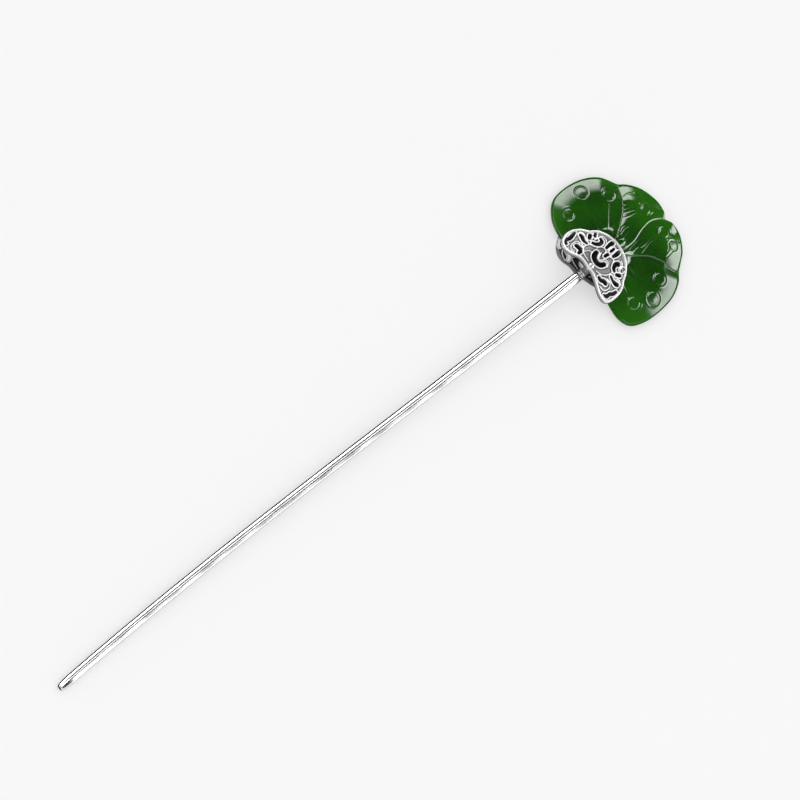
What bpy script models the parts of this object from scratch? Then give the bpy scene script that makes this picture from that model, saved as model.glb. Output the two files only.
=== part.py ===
"""Hair stick: a slender silver shaft with a carved jade fan held between two pierced silver leaves.

The pin lies as it does on a table: the back leaf is flat on z = 0 and the shaft's tip touches it too.
Design coordinates start at the clasp's waist: +X points to the jade's crest, +Y to one wing, +Z up.
Sizes are in millimetres here, and MM turns them into metres when a mesh is made.
"""

import bmesh
import bpy
from math import atan2, cos, pi, sin
from mathutils import Vector
from mathutils.geometry import tessellate_polygon

MM = 0.001

# --- driving dimensions, mm -------------------------------------------------------------------
shaft_length = 158.1
shaft_head_width = 2.3
shaft_head_height = 1.9
shaft_tip_width = 2.1
shaft_tip_height = 1.7
shaft_section_power = 1.5
shaft_roll = 0.14
shaft_bow = 1.05
tip_round_length = 4.0
tip_end_share = 0.55
tip_steps = (0, 0.08, 0.3, 0.6, 1)
shoulder_x = -2.2
shoulder_round = 0.5
tenon_diameter = 1.0
tenon_in_jade = 3.6

leaf_thickness = 0.8
back_leaf_thickness = 0.7
back_leaf_widening = 1.09
back_leaf_lift = 0.03
back_leaf_turn = 0.21
back_leaf_sweep = 0.24
back_leaf_cut_share = 0.85
rim_wire_diameter = 0.45
rim_wire_inset = 0.3

jade_rim_thickness = 1.9
jade_rise = 3.4
jade_arch_half_width = 11.0
jade_fall_length = 24.0
jade_edge_round = 0.6
jade_groove_depth = 0.35
jade_groove_half_width = 1.2

post_x = -0.1
post_diameter = 2.0
post_spigot_diameter = 1.0
post_head_diameter = 1.3
post_head_height = 0.35

joint_gap = 0.1
bore_gap = 0.15
seat_gap = 0.15
post_to_jade = 0.25
wire_gap = 0.05

# --- values worked out from them --------------------------------------------------------------
jade_back_z = back_leaf_thickness + joint_gap
jade_peak_z = jade_back_z + jade_rim_thickness + jade_rise
leaf_under_z = jade_peak_z + seat_gap
leaf_top_z = leaf_under_z + leaf_thickness
axis_z = (back_leaf_thickness + leaf_under_z) / 2
tenon_radius = tenon_diameter / 2
bore_radius = tenon_radius + bore_gap
jade_base_x = post_x + post_diameter / 2 + post_to_jade
tab_reach = post_head_diameter / 2 + joint_gap + rim_wire_diameter / 2 + rim_wire_inset
front_leaf_layout = (1.0, 0.0, 0.0, 0.0, 1.0)
back_leaf_layout = (
    back_leaf_widening, back_leaf_turn, back_leaf_lift, back_leaf_sweep, back_leaf_cut_share,
)
tab_tip, tab_left, tab_right = (
    (post_x + tab_reach * cos(angle), tab_reach * sin(angle)) for angle in (pi, pi * 0.77, -pi * 0.77)
)

# The front leaf's edge, once round from the waist tab: the left lobe, the crest, the right lobe.
leaf_edge = [
    tab_tip, tab_left, (-0.9, 2.9), (-1.6, 4.9), (-1.7, 6.7), (-0.8, 8.2), (0.6, 8.9),
    (2.0, 9.1), (3.5, 8.7), (4.8, 7.8), (5.8, 6.4), (6.9, 5.6), (7.9, 4.1), (8.5, 2.1),
    (8.7, -0.1), (8.3, -2.7), (7.5, -4.6), (6.3, -6.2), (5.0, -7.1), (3.7, -8.3), (1.8, -8.9),
    (-0.2, -8.9), (-1.6, -8.3), (-2.2, -6.9), (-2.1, -5.1), (-1.5, -2.9), tab_right,
]

# Each piercing is a comma or hook sawn along a short path: (x, y, half width) at each point.
piercings = [
    [(-0.4, 7.3, 0.38), (0.2, 8.0, 0.40), (1.1, 7.7, 0.45), (2.1, 7.8, 0.42), (3.1, 8.0, 0.28)],
    [(3.6, 6.8, 0.34), (3.5, 6.3, 0.42), (3.2, 5.8, 0.42), (3.0, 5.2, 0.37), (3.0, 4.5, 0.30)],
    [(5.1, 5.4, 0.43), (4.4, 5.0, 0.38)],
    [(6.3, 5.0, 0.35), (5.7, 4.6, 0.31)],
    [(4.1, 3.7, 0.34), (4.5, 3.0, 0.43), (5.2, 2.6, 0.46), (5.9, 2.7, 0.42), (6.2, 3.3, 0.32)],
    [(7.6, 1.0, 0.52), (6.7, 1.1, 0.40), (5.7, 1.0, 0.31)],
    [(7.0, -0.2, 0.30), (6.0, -0.2, 0.32)],
    [(7.6, -1.4, 0.38), (6.9, -1.5, 0.50), (5.7, -1.4, 0.32)],
    [(4.1, -0.2, 0.35), (4.9, -0.3, 0.38)],
    [(3.1, 1.6, 0.50), (2.3, 1.4, 0.60), (1.7, 0.8, 0.60), (1.5, -0.2, 0.60), (1.9, -1.1, 0.60),
     (2.7, -1.5, 0.54)],
    [(0.9, 5.4, 0.52), (0.9, 4.6, 0.52), (0.6, 4.0, 0.45), (-0.1, 3.9, 0.35)],
    [(5.7, -3.4, 0.56), (5.1, -3.1, 0.52), (4.3, -3.4, 0.45), (4.0, -4.0, 0.35)],
    [(6.3, -5.0, 0.35), (5.6, -5.1, 0.30)],
    [(4.0, -5.0, 0.38), (4.7, -5.6, 0.40)],
    [(2.6, -4.6, 0.32), (2.5, -5.5, 0.35), (2.7, -6.3, 0.48), (3.0, -6.8, 0.48)],
    [(-0.1, -3.1, 0.40), (-0.1, -3.7, 0.43), (0.4, -4.3, 0.50), (0.6, -4.9, 0.52)],
    [(-1.1, -6.9, 0.38), (-0.5, -7.4, 0.43), (0.3, -7.4, 0.40), (1.1, -7.8, 0.40), (1.9, -7.9, 0.35)],
]

# The jade's edge, lobe by lobe; each lobe runs from one notch to the next, both ends included.
jade_lobes = {
    "left_wing": [(jade_base_x, 3.0), (0.9, 7.0), (1.3, 10.5), (2.4, 13.5), (5.0, 16.3), (8.8, 17.1),
                  (13.6, 16.4), (17.6, 14.2), (20.0, 10.5)],
    "left_crest": [(20.0, 10.5), (22.0, 9.0), (24.0, 6.3), (25.1, 2.5), (24.9, -0.3), (23.8, -2.0)],
    "right_crest": [(23.8, -2.0), (24.7, -4.0), (24.3, -6.9), (22.5, -9.9), (20.6, -11.5),
                    (18.5, -13.0)],
    "right_wing": [(18.5, -13.0), (16.6, -15.1), (13.2, -16.7), (9.0, -17.3), (4.8, -17.1),
                   (1.2, -15.7), (-0.1, -12.9), (0.1, -9.5), (0.7, -5.5), (jade_base_x, -3.0)],
}
jade_centre = (8.0, 0.0)
jade_rings = [0.97, 0.9, 0.8, 0.69, 0.58, 0.47, 0.37, 0.27, 0.18, 0.09]


# --- curves and surfaces -----------------------------------------------------------------------
def spline(points, per_span, closed=False):
    """A Catmull-Rom curve through the points, with per_span steps between each pair."""
    count = len(points)
    spans = count if closed else count - 1
    curve = []
    for i in range(spans):
        before = points[(i - 1) % count] if closed else points[max(i - 1, 0)]
        start = points[i]
        end = points[(i + 1) % count]
        after = points[(i + 2) % count] if closed else points[min(i + 2, count - 1)]
        for step in range(per_span):
            t = step / per_span
            curve.append(tuple(
                0.5 * (2 * b + (c - a) * t + (2 * a - 5 * b + 4 * c - d) * t ** 2
                       + (3 * b - a - 3 * c + d) * t ** 3)
                for a, b, c, d in zip(before, start, end, after)
            ))
    if not closed:
        curve.append(tuple(points[-1]))
    return curve


def crown(x, y):
    """Height of the jade's arch above its rim: full along the axis, nothing at the wings."""
    across = max(1 - (y / jade_arch_half_width) ** 2, 0) ** 2
    along = max(1 - (max(x, 0) / jade_fall_length) ** 2, 0)
    return jade_rise * across * along


def front_leaf_under(x, y):
    """The front leaf's underside follows the jade's arch."""
    return leaf_under_z - jade_rise + crown(x, y)


def back_leaf_under(x, y):
    return 0.0


def stroke_outline(path):
    """The closed outline of a cut along a path whose half width changes from point to point."""
    centre = spline(path, 3)
    left, right = [], []
    for i, (x, y, half) in enumerate(centre):
        ahead = centre[min(i + 1, len(centre) - 1)]
        behind = centre[max(i - 1, 0)]
        angle = atan2(ahead[1] - behind[1], ahead[0] - behind[0])
        left.append((x - half * sin(angle), y + half * cos(angle)))
        right.append((x + half * sin(angle), y - half * cos(angle)))
        if i == 0:
            start_angle = angle
    end_x, end_y, end_half = centre[-1]
    start_x, start_y, start_half = centre[0]
    end_cap = [(end_x + end_half * cos(angle + a), end_y + end_half * sin(angle + a))
               for a in (pi / 4, 0, -pi / 4)]
    start_cap = [(start_x - start_half * cos(start_angle + a),
                  start_y - start_half * sin(start_angle + a)) for a in (pi / 4, 0, -pi / 4)]
    return left + end_cap + right[::-1] + start_cap


def circle(x, y, radius, count):
    return [(x + radius * cos(2 * pi * i / count), y + radius * sin(2 * pi * i / count))
            for i in range(count)]


# --- making objects ------------------------------------------------------------------------------
def material(name, colour, roughness, metallic):
    made = bpy.data.materials.new(name)
    made.use_nodes = True
    shader = made.node_tree.nodes["Principled BSDF"]
    shader.inputs["Base Color"].default_value = (*colour, 1)
    shader.inputs["Roughness"].default_value = roughness
    shader.inputs["Metallic"].default_value = metallic
    return made


def add_object(name, vertices, faces, finish, parent):
    """One node: vertices in mm, scaled here to metres, with its faces turned outward."""
    mesh = bpy.data.meshes.new(name)
    mesh.from_pydata([Vector(v) * MM for v in vertices], [], faces)
    bm = bmesh.new()
    bm.from_mesh(mesh)
    bmesh.ops.recalc_face_normals(bm, faces=bm.faces)
    bm.to_mesh(mesh)
    bm.free()
    mesh.shade_smooth()
    mesh.set_sharp_from_angle(angle=pi / 5)
    mesh.materials.append(finish)
    made = bpy.data.objects.new(name, mesh)
    bpy.context.collection.objects.link(made)
    made.parent = parent
    return made


def loft(rings):
    """Faces that join rings of equal count end to end, with a closed face at each end."""
    count = len(rings[0])
    faces = [tuple(range(count))]
    for ring in range(len(rings) - 1):
        first, second = ring * count, (ring + 1) * count
        for i in range(count):
            j = (i + 1) % count
            faces.append((first + i, first + j, second + j, second + i))
    last = (len(rings) - 1) * count
    faces.append(tuple(range(last + count - 1, last - 1, -1)))
    return [point for ring in rings for point in ring], faces


def cylinder_cutter(name, start_x, end_x, radius, parent):
    """A cutter along the shaft's axis, in the shaft's own frame."""
    rings = [[(x, radius * cos(2 * pi * i / 20), radius * sin(2 * pi * i / 20)) for i in range(20)]
             for x in (start_x, end_x)]
    vertices, faces = loft(rings)
    cutter = add_object(name, vertices, faces, silver, parent)
    cutter.hide_render = True
    cutter.display_type = "WIRE"
    return cutter


def cut(target, cutter):
    boolean = target.modifiers.new("bore", "BOOLEAN")
    boolean.operation = "DIFFERENCE"
    boolean.solver = "EXACT"
    boolean.object = cutter


# --- the pieces ------------------------------------------------------------------------------------
def shaft_half_sizes(distance):
    """Half width and half height of the shaft, at a distance from its tip."""
    share = distance / shaft_length
    width = shaft_tip_width + (shaft_head_width - shaft_tip_width) * share
    height = shaft_tip_height + (shaft_head_height - shaft_tip_height) * share
    size = 1.0
    if distance < tip_round_length:
        rounding = (1 - (1 - distance / tip_round_length) ** 2) ** 0.5
        size = tip_end_share + (1 - tip_end_share) * rounding
    from_shoulder = shaft_length - distance
    if from_shoulder < shoulder_round:
        rounding = (1 - (1 - from_shoulder / shoulder_round) ** 2) ** 0.5
        size = 0.72 + 0.28 * rounding
    return size * width / 2, size * height / 2


def shaft_ring(distance, count=16):
    """A soft lozenge, |y/a|^p + |z/b|^p = 1, rolled a little, on the shaft's bowed centre line."""
    half_width, half_height = shaft_half_sizes(distance)
    share = 1 - distance / shaft_length
    bowed = shaft_bow * 6.75 * share ** 2 * (1 - share)
    ring = []
    for i in range(count):
        angle = 2 * pi * i / count
        c, s = cos(angle), sin(angle)
        power = shaft_section_power
        reach = (abs(c) ** power + abs(s) ** power) ** (-1 / power)
        y, z = half_width * reach * c, half_height * reach * s
        ring.append((distance - shaft_length, bowed + y * cos(shaft_roll) - z * sin(shaft_roll),
                     y * sin(shaft_roll) + z * cos(shaft_roll)))
    return ring


def make_shaft(parent):
    """The stick and the turned tenon on its head, in the shaft's own frame: x = 0 at the shoulder."""
    body_steps = 8
    shoulder_steps = [0.75, 0.4, 0.15, 0.03, 0]
    distances = [tip_round_length * t for t in tip_steps]
    body = shaft_length - tip_round_length - shoulder_round
    distances += [tip_round_length + body * (i + 1) / body_steps for i in range(body_steps)]
    distances += [shaft_length - shoulder_round * t for t in shoulder_steps]
    rings = [shaft_ring(d) for d in distances]
    rings += [[(x, tenon_radius * size * cos(pi * i / 8), tenon_radius * size * sin(pi * i / 8))
               for i in range(16)] for x, size in ((0, 1), (tenon_end - 0.2, 1), (tenon_end, 0.7))]
    vertices, faces = loft(rings)
    return add_object("shaft", vertices, faces, silver, parent)


def make_neck_collar(parent):
    """A short tube round the tenon, between the shaft's shoulder and the post, with two turned beads."""
    start = joint_gap
    end = post_x - post_diameter / 2 - joint_gap - shoulder_x
    length = end - start
    outer = min(shaft_head_height, post_diameter) / 2
    profile = [(0, 0.86), (0.12, 1), (0.26, 1), (0.36, 0.84), (0.64, 0.84), (0.74, 1), (0.88, 1),
               (1, 0.86)]
    rings = [[(start + length * t, outer * r * cos(2 * pi * i / 20), outer * r * sin(2 * pi * i / 20))
              for i in range(20)] for t, r in profile]
    vertices, faces = loft(rings)
    collar = add_object("neck_collar", vertices, faces, silver, parent)
    cut(collar, cylinder_cutter("collar_bore", start - 1, end + 1, bore_radius, parent))
    return collar


def make_waist_post(parent, axis_frame):
    """The post that ties the two leaves at the waist: spigots through both, bored for the tenon."""
    body = post_diameter / 2
    spigot = post_spigot_diameter / 2
    head = post_head_diameter / 2
    seat = leaf_top_z + joint_gap
    profile = [(spigot, 0.05), (spigot, back_leaf_thickness + joint_gap),
               (body, back_leaf_thickness + joint_gap),
               (body, leaf_under_z - joint_gap), (spigot, leaf_under_z - joint_gap), (spigot, seat),
               (head, seat), (head * 0.9, seat + post_head_height * 0.55),
               (head * 0.5, seat + post_head_height * 0.92)]
    rings = [[(x, y, z) for x, y in circle(post_x, 0, radius, 20)] for radius, z in profile]
    vertices, faces = loft(rings)
    post = add_object("waist_post", vertices, faces, silver, parent)
    reach = post_diameter
    centre = post_x - shoulder_x
    cut(post, cylinder_cutter("post_bore", centre - reach, centre + reach, bore_radius, axis_frame))
    return post


def laid_out(points, widening, turn, lift, sweep, cut_share):
    """Pattern points widened across the pin, turned about the waist, lifted at both ends, and
    swept forward on the right; a cut's half width keeps only its share."""
    laid = []
    for x, y, *half in points:
        wide = y * widening
        forward = lift * wide ** 2 + sweep * max(-wide, 0)
        laid.append((post_x + (x - post_x) * cos(turn) - wide * sin(turn) + forward,
                     (x - post_x) * sin(turn) + wide * cos(turn), *(h * cut_share for h in half)))
    return laid


def make_leaf(name, layout, under, thickness, parent):
    """A pierced leaf: its outline and piercings are filled flat, thickened, then bent over the jade."""
    loops = [spline(laid_out(leaf_edge, *layout), 3, closed=True)]
    loops += [stroke_outline(laid_out(path, *layout)) for path in piercings]
    loops.append(circle(post_x, 0, post_spigot_diameter / 2 + joint_gap, 14))
    flat = [point for loop in loops for point in loop]
    triangles = tessellate_polygon([[Vector((x, y, 0)) for x, y in loop] for loop in loops])
    count = len(flat)
    vertices = [(x, y, under(x, y) + lift) for lift in (thickness, 0) for x, y in flat]
    faces = [tuple(t) for t in triangles]
    faces += [tuple(i + count for i in reversed(t)) for t in triangles]
    start = 0
    for loop in loops:
        for i in range(len(loop)):
            j = (i + 1) % len(loop)
            faces.append((start + i, start + j, start + j + count, start + i + count))
        start += len(loop)
    return add_object(name, vertices, faces, silver, parent)


def make_rim_wire(parent):
    """A round wire laid along the front leaf's edge, on its outer face."""
    edge = spline(leaf_edge, 3, closed=True)
    count, sides = len(edge), 6
    radius = rim_wire_diameter / 2
    inward_sign = -1 if clockwise(edge) else 1
    vertices, faces = [], []
    for i, (x, y) in enumerate(edge):
        ahead, behind = edge[(i + 1) % count], edge[i - 1]
        tangent = Vector((ahead[0] - behind[0], ahead[1] - behind[1])).normalized()
        inward = Vector((-tangent.y, tangent.x)) * inward_sign
        cx, cy = x + inward.x * rim_wire_inset, y + inward.y * rim_wire_inset
        cz = front_leaf_under(cx, cy) + leaf_thickness + wire_gap + radius
        for k in range(sides):
            angle = 2 * pi * k / sides
            reach = radius * cos(angle)
            vertices.append((cx + inward.x * reach, cy + inward.y * reach, cz + radius * sin(angle)))
        for k in range(sides):
            m, j = (k + 1) % sides, (i + 1) % count
            faces.append((i * sides + k, i * sides + m, j * sides + m, j * sides + k))
    return add_object("front_rim_wire", vertices, faces, silver, parent)


def clockwise(loop):
    """Whether a closed loop runs clockwise, from the sign of its area."""
    area = sum(a[0] * b[1] - b[0] * a[1] for a, b in zip(loop, loop[1:] + loop[:1]))
    return area < 0


def jade_outline():
    outline = []
    for lobe in jade_lobes.values():
        outline += spline(lobe, 3)[:-1]
    last, first = jade_lobes["right_wing"][-1], jade_lobes["left_wing"][0]
    steps = 6
    return outline + [(last[0], last[1] + (first[1] - last[1]) * i / steps) for i in range(steps)]


def make_jade(parent, axis_frame):
    """The carved fan: a flat back, rounded edges, and an arched front, grooved at the notches."""
    outline = jade_outline()
    count = len(outline)
    notches = [jade_lobes[name][0] for name in ("left_crest", "right_crest", "right_wing")]
    cx, cy = jade_centre

    def top(x, y, s):
        """Front height: rim, plus the arch, less a shallow groove towards each notch."""
        groove = 0
        for nx, ny in notches:
            reach_x, reach_y = nx - cx, ny - cy
            square = reach_x ** 2 + reach_y ** 2
            along = ((x - cx) * reach_x + (y - cy) * reach_y) / square
            off = abs((x - cx) * reach_y - (y - cy) * reach_x) / square ** 0.5
            if along > 0:
                side = max(1 - off / jade_groove_half_width, 0)
                groove = max(groove, jade_groove_depth * side * min(along, 1) * min(s * 1.2, 1))
        return jade_back_z + jade_rim_thickness + crown(x, y) - groove

    rings = [[(cx + (x - cx) * 0.975, cy + (y - cy) * 0.975, jade_back_z) for x, y in outline],
             [(x, y, jade_back_z + jade_edge_round) for x, y in outline],
             [(x, y, top(x, y, 1) - jade_edge_round) for x, y in outline]]
    for s in jade_rings:
        ring = []
        for x, y in outline:
            px, py = cx + (x - cx) * s, cy + (y - cy) * s
            ring.append((px, py, top(px, py, s)))
        rings.append(ring)
    vertices, faces = loft(rings)
    faces.pop()
    last = (len(rings) - 1) * count
    vertices.append((cx, cy, top(cx, cy, 0)))
    faces += [(last + i, last + (i + 1) % count, len(vertices) - 1) for i in range(count)]
    jade = add_object("jade_fan", vertices, faces, jade_green, parent)
    mouth = jade_base_x - shoulder_x
    cut(jade, cylinder_cutter("jade_bore", mouth - 2, tenon_end + bore_gap, bore_radius, axis_frame))
    return jade


for old in list(bpy.data.objects):
    bpy.data.objects.remove(old, do_unlink=True)

silver = material("polished_silver", (0.86, 0.85, 0.83), 0.16, 1.0)
jade_green = material("spinach_jade", (0.02, 0.13, 0.02), 0.18, 0.0)

# The shaft leans from the post's middle down to the table, so that its tip just touches z = 0.
tenon_end = jade_base_x + tenon_in_jade - shoulder_x
lean = atan2(axis_z - shaft_tip_height / 2, shaft_length)
tip_rings = [shaft_ring(tip_round_length * share) for share in tip_steps]
shoulder_z = -min(x * sin(lean) + z * cos(lean) for ring in tip_rings for x, y, z in ring)

# The whole pin is moved so that its box is centred on the origin.
edge = jade_outline()
tip_x = shoulder_x - shaft_length * cos(lean)
middle_x = (tip_x + max(x for x, y in edge)) / 2
middle_y = (min(y for x, y in edge) + max(y for x, y in edge)) / 2
pin_frame = bpy.data.objects.new("pin_frame", None)
pin_frame.location = Vector((-middle_x, -middle_y, 0)) * MM
bpy.context.collection.objects.link(pin_frame)
shaft_frame = bpy.data.objects.new("shaft_frame", None)
shaft_frame.location = Vector((shoulder_x, 0, shoulder_z)) * MM
shaft_frame.rotation_euler = (0, -lean, 0)
shaft_frame.parent = pin_frame
bpy.context.collection.objects.link(shaft_frame)

make_shaft(shaft_frame)
make_neck_collar(shaft_frame)
make_waist_post(pin_frame, shaft_frame)
make_leaf("back_leaf", back_leaf_layout, back_leaf_under, back_leaf_thickness, pin_frame)
make_leaf("front_leaf", front_leaf_layout, front_leaf_under, leaf_thickness, pin_frame)
make_rim_wire(pin_frame)
make_jade(pin_frame, shaft_frame)
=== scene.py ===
"""Hair stick: the finished surfaces and materials of each piece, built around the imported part."""

import math

import bmesh
import bpy
import numpy as np
from mathutils import Matrix, Vector


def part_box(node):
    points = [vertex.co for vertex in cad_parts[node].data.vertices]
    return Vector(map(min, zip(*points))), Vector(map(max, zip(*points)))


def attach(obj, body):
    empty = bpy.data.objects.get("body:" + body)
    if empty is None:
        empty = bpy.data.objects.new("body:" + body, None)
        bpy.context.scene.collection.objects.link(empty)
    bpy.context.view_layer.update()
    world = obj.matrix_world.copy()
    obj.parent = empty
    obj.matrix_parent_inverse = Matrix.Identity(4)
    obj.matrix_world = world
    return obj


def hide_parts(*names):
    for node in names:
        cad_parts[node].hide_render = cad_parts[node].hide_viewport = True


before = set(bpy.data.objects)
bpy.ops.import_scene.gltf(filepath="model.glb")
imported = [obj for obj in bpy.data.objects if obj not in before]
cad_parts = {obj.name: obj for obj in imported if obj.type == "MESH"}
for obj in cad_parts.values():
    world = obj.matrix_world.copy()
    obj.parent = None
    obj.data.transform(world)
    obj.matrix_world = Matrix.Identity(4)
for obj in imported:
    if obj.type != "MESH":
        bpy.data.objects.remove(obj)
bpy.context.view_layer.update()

# ---------------------------------------------------------------------------------------------
# Shaft: a silver rod drawn and filed to a soft four-sided section with a ridge along its top,
# blunt at the tip, rounded at the shoulder, and turned down there to the tenon that holds it.
# ---------------------------------------------------------------------------------------------
MM = 0.001
shaft_length = 158.1
shoulder_x = -2.2
shaft_head = (1.15, 0.95)
shaft_tip = (1.05, 0.85)
ridge_power = 1.25
side_power = 2.3
ridge_shear = 0.14
shaft_roll = 0.04
shaft_bow = 1.05
tip_round_length = 4.0
tip_end_share = 0.55
shoulder_round = 0.5
shoulder_end_share = 0.78
tenon_radius = 0.5
tenon_length = 7.5
tenon_chamfer = 0.2
tenon_tip_share = 0.7
filing_wave = 0.006
shaft_columns = 64

post_low, post_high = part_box("waist_post")
collar_low, collar_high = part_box("neck_collar")
post_x = -0.1
origin = Vector(((post_low.x + post_high.x) / 2 - post_x * MM, (post_low.y + post_high.y) / 2, 0))
axis_z = (collar_low.z + collar_high.z) / 2 / MM
lean = math.atan2(axis_z - shaft_tip[1], shaft_length)


def placed(points):
    """Millimetres from the clasp's waist, turned into metres in the part's frame."""
    return np.asarray(points, float) * MM + np.array([origin.x, origin.y, 0.0])


def leaned(points):
    """Points along the shaft's own axis, x = 0 at the shoulder, turned by its lean."""
    x, y, z = np.moveaxis(np.asarray(points, float), -1, 0)
    c, s = math.cos(lean), math.sin(lean)
    return np.stack([shoulder_x + x * c - z * s, y, x * s + z * c], -1)


def on_shaft_axis(points):
    """The same, lifted so that the shaft's tip just touches the table."""
    return leaned(points) + np.array([0, 0, shoulder_z])


def add_piece(name, vertices, faces, sharp=50):
    """A mesh object from vertices in metres and a list of faces, smooth with sharp creases."""
    mesh = bpy.data.meshes.new(name)
    mesh.from_pydata(vertices.tolist(), [], faces)
    mesh.shade_smooth()
    mesh.set_sharp_from_angle(angle=math.radians(sharp))
    made = bpy.data.objects.new(name, mesh)
    bpy.context.collection.objects.link(made)
    return made


def swept(name, rings, wrap=False, sharp=50):
    """Joins rows of equal rings into a closed skin: row i, column j meets i+1 and j+1.
    An open row of rings gets an end face at each end; a wrapped one closes on itself."""
    rows, count = rings.shape[:2]
    i, j = np.meshgrid(np.arange(rows if wrap else rows - 1), np.arange(count), indexing="ij")
    a, b = i * count + j, i * count + (j + 1) % count
    c, d = ((i + 1) % rows) * count + (j + 1) % count, ((i + 1) % rows) * count + j
    faces = np.stack([a, b, c, d], -1).reshape(-1, 4).tolist()
    if not wrap:
        last = (rows - 1) * count
        faces += [list(range(count))[::-1], list(range(last, last + count))]
    piece = add_piece(name, rings.reshape(-1, 3), faces, sharp)
    outward(piece)
    return piece


def outward(piece):
    """Turns a closed skin's faces to point out."""
    bm = bmesh.new()
    bm.from_mesh(piece.data)
    bmesh.ops.recalc_face_normals(bm, faces=bm.faces)
    bm.to_mesh(piece.data)
    bm.free()


class Flow:
    """A socket of a node tree that takes part in sums: each operator adds a Math node."""

    def __init__(self, tree, socket=None):
        self.tree, self.socket = tree, socket

    def node(self, kind, settings=None, inputs=None, output=0):
        """Adds a node, its settings first and then each input's value or link; returns one output."""
        made = self.tree.nodes.new(kind)
        for name, value in (settings or {}).items():
            setattr(made, name, value)
        for name, value in (inputs or {}).items():
            if isinstance(value, Flow):
                self.tree.links.new(value.socket, made.inputs[name])
            else:
                made.inputs[name].default_value = value
        return Flow(self.tree, made.outputs[output] if made.outputs else None)

    def math(self, operation, first, second=0.0):
        """One Math node on sockets or numbers."""
        return self.node("ShaderNodeMath", {"operation": operation}, {0: first, 1: second})

    def __add__(self, other):
        return self.math("ADD", self, other)

    def __sub__(self, other):
        return self.math("SUBTRACT", self, other)

    def __rsub__(self, other):
        return self.math("SUBTRACT", other, self)

    def __mul__(self, other):
        return self.math("MULTIPLY", self, other)

    __radd__, __rmul__ = __add__, __mul__

    def rise(self, start, end):
        """0 below start, 1 above end, and a smooth rise between them."""
        return self.node("ShaderNodeMapRange", {"interpolation_type": "SMOOTHSTEP"},
                         {"Value": self, "From Min": start, "From Max": end})

    def mix(self, first, second):
        """The colour between two colours that this share gives."""
        return self.node("ShaderNodeMix", {"data_type": "RGBA"}, {0: self, 6: first, 7: second}, 2)


def new_material(name, constants):
    """A Principled material; constants set its plain sockets. Returns it and its open tree."""
    made = bpy.data.materials.new(name)
    made.use_nodes = True
    shader = made.node_tree.nodes["Principled BSDF"]
    for socket, value in constants.items():
        shader.inputs[socket].default_value = value
    return made, Flow(made.node_tree), shader


def noise_at(flow, coordinates, scale, stretch=(1, 1, 1), detail=3.0):
    """Noise on coordinates that are first stretched along the axes; scale is in bumps per metre."""
    moved = flow.node("ShaderNodeMapping", {}, {"Vector": coordinates, "Scale": stretch})
    return flow.node("ShaderNodeTexNoise", {}, {"Vector": moved, "Scale": scale, "Detail": detail})


def silver(name, marks, marks_scale, worn_roughness, metal):
    """Polished silver: fine marks one way, a soft bloom, and dark oxide and painted shade where the stored
    value is high.
    """
    made, flow, shader = new_material(name, {"Metallic": metal, "IOR": 1.5})
    place = flow.node("ShaderNodeTexCoord", output=3)
    oxide_shade_thinness = flow.node("ShaderNodeAttribute", {"attribute_name": "oxide_shade_thinness"}, output=2)
    bloom = noise_at(flow, place, 260.0)
    grain = noise_at(flow, place, marks_scale, marks)
    # Oxide in the hollows and painted shade on faces under or between other parts, broken up by the bloom.
    oxide = (oxide_shade_thinness + (bloom - 0.5) * 0.35).rise(0.15, 0.95)
    tint = bloom.mix((0.93, 0.93, 0.925, 1), (0.985, 0.985, 0.98, 1))
    colour = oxide.mix(tint, (0.05, 0.05, 0.05, 1))
    rough = worn_roughness + (grain - 0.5) * 0.10 + oxide * 0.22 + (bloom - 0.5) * 0.06
    bump = flow.node("ShaderNodeBump", {}, {"Strength": 0.25, "Distance": 0.00002, "Height": grain})
    for socket, value in (("Base Color", colour), ("Roughness", rough), ("Normal", bump)):
        flow.tree.links.new(value.socket, shader.inputs[socket])
    return made


def set_oxide_shade_thinness(piece, values):
    """Stores 0 to 1 at each vertex: for silver, oxide in hollows (0 on a crest, 1 at the bottom) and painted
    shade under or between parts; for the jade, how thin its rim is.
    """
    layer = piece.data.attributes.new("oxide_shade_thinness", "FLOAT", "POINT")
    layer.data.foreach_set("value", np.asarray(values, np.float32).ravel())


def finish_piece(piece, node, material):
    """Gives a piece its material, parents it to the root body and hides the imported part that it stands
    for.
    """
    piece.data.materials.append(material)
    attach(piece, "root")
    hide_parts(node)


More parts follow.
